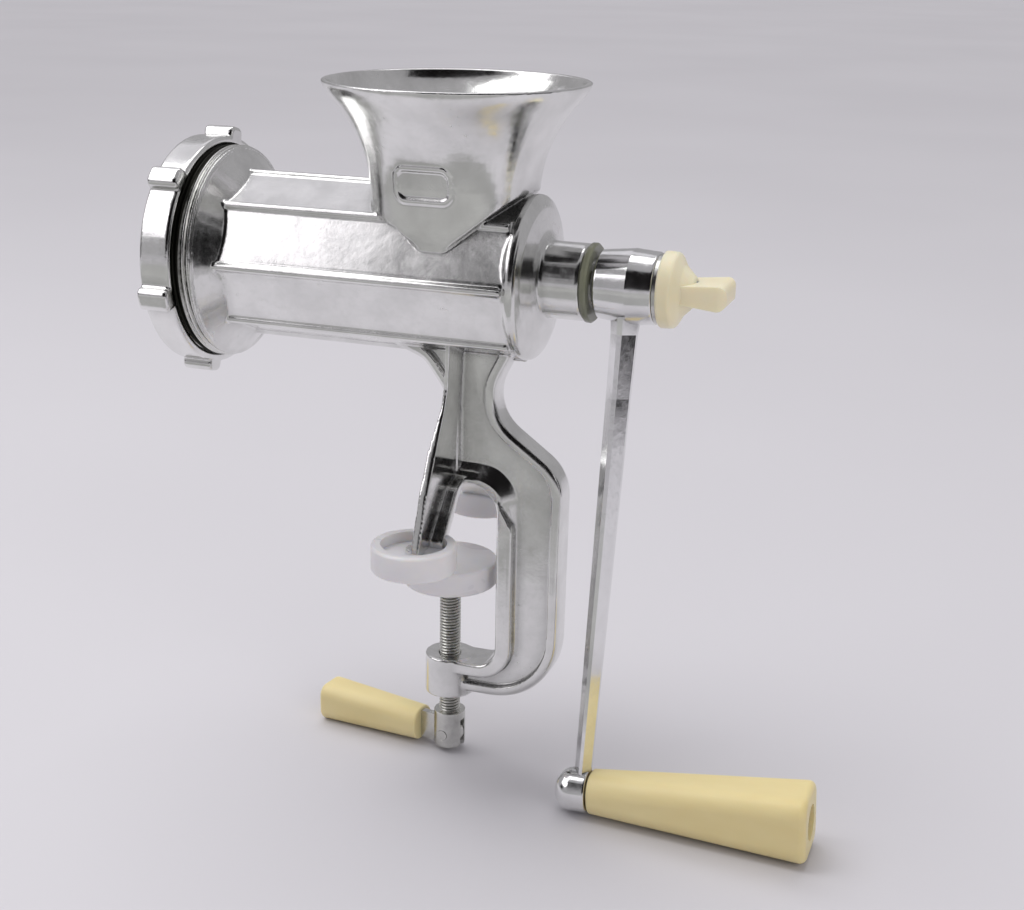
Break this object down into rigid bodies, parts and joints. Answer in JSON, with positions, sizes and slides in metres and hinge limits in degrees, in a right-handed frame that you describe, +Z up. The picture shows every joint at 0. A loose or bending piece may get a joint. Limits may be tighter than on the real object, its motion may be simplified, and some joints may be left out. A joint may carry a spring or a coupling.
{
  "type": "hand crank meat grinder",
  "caption": "Clamp-on hand crank meat grinder with hopper, threaded ring nut, perforated plate, worm, folding clamp screw handle and crank.",
  "frame": {"origin": "on the clamp screw's axis, in the plane of the table top on which the two foot pads stand", "axes": "+Z up along the clamp screw, +X from the mouth towards the crank along the barrel, +Y to the back"},
  "size_m": [0.2562, 0.1048, 0.2634],
  "materials": {
    "cast_aluminium": "polished casting",
    "plated_steel": "zinc plated",
    "tool_steel": "ground",
    "bush_plastic": "satin",
    "grip_plastic": "satin, cream",
    "wing_plastic": "satin, ivory",
    "pad_plastic": "translucent white"
  },
  "bodies": {
    "housing": {"housing": "cast_aluminium", "rear_bush": "bush_plastic", "thrust_washer": "bush_plastic", "plate_key_pin": "plated_steel", "foot_pad_front": "pad_plastic", "foot_pad_back": "pad_plastic"},
    "auger": {"auger": "cast_aluminium", "knife_stud": "plated_steel", "knife": "tool_steel", "crank_arm": "cast_aluminium", "grip_axle": "plated_steel"},
    "crank_grip": {"crank_grip": "grip_plastic"},
    "crank_washer": {"crank_washer": "plated_steel"},
    "wing_screw": {"wing_screw_head": "wing_plastic", "wing_screw_stud": "plated_steel"},
    "cutting_plate": {"cutting_plate": "tool_steel"},
    "ring_nut": {"ring_nut": "cast_aluminium"},
    "clamp_pad": {"clamp_pad": "pad_plastic", "swivel_disc": "plated_steel"},
    "clamp_screw": {"clamp_screw": "plated_steel", "handle_pin": "plated_steel"},
    "screw_handle": {"handle_tongue": "plated_steel", "screw_handle": "grip_plastic"}
  },
  "joints": [
    {"name": "crank_turn", "type": "hinge", "parent": "housing", "child": "auger", "pos_m": [0, 0, 0.104], "axis": [1, 0, 0], "continuous": true},
    {"name": "grip_turn", "type": "hinge", "parent": "auger", "child": "crank_grip", "pos_m": [0.0646, -0.02876, -0.08179], "axis": [0.9985, 0, 0.0541], "continuous": true},
    {"name": "washer_slide", "type": "slide", "parent": "auger", "child": "crank_washer", "axis": [1, 0, 0], "range_m": [0, 0.01]},
    {"name": "wing_screw_turn", "type": "hinge", "parent": "crank_washer", "child": "wing_screw", "pos_m": [0, 0, 0.104], "axis": [1, 0, 0], "range_deg": [-2890, 10]},
    {"name": "plate_slide", "type": "slide", "parent": "housing", "child": "cutting_plate", "axis": [-1, 0, 0], "range_m": [0, 0.01]},
    {"name": "ring_nut_turn", "type": "hinge", "parent": "cutting_plate", "child": "ring_nut", "pos_m": [0, 0, 0.104], "axis": [-1, 0, 0], "range_deg": [-1810, 10]},
    {"name": "pad_slide", "type": "slide", "parent": "housing", "child": "clamp_pad", "axis": [0, 0, 1], "range_m": [-0.029, 0.0085]},
    {"name": "clamp_screw_turn", "type": "hinge", "parent": "clamp_pad", "child": "clamp_screw", "pos_m": [0, 0, -0.05], "axis": [0, 0, 1], "range_deg": [-5976, 1759]},
    {"name": "handle_fold", "type": "hinge", "parent": "clamp_screw", "child": "screw_handle", "pos_m": [0, 0, -0.0832], "axis": [-0.1547, -0.988, 0], "range_deg": [0, 180]}
  ],
  "couplings": [
    {"joint": "wing_screw_turn", "follows": "washer_slide", "rad_per_m": -5026.5},
    {"joint": "ring_nut_turn", "follows": "plate_slide", "rad_per_m": -3141.6},
    {"joint": "clamp_screw_turn", "follows": "pad_slide", "rad_per_m": 3590.4}
  ]
}
